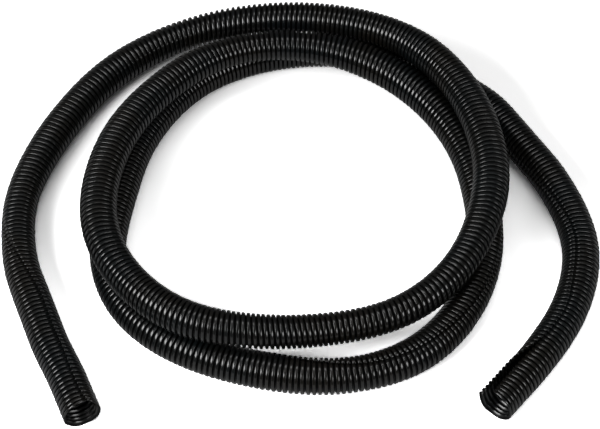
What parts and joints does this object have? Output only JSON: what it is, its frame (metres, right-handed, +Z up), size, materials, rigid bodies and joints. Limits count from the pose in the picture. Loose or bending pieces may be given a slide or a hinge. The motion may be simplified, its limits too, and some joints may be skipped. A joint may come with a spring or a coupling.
{
  "type": "corrugated vacuum hose",
  "caption": "Flexible black ribbed vacuum hose with bare open ends, lying on a floor as a loose coil with both ends brought out to the front.",
  "frame": {"origin": "on the floor, under the middle of the laid-out hose's bounding box", "axes": "+Z up from the floor, +X to the right as seen from the side that both open ends point to, +Y away from that side"},
  "size_m": [0.6176, 0.5351, 0.0752],
  "materials": {
    "hose_plastic": "black, moulded, semi-gloss"
  },
  "bodies": {
    "root": {"left_run": "hose_plastic", "coiled_turns": "hose_plastic", "right_run": "hose_plastic"}
  },
  "joints": []
}
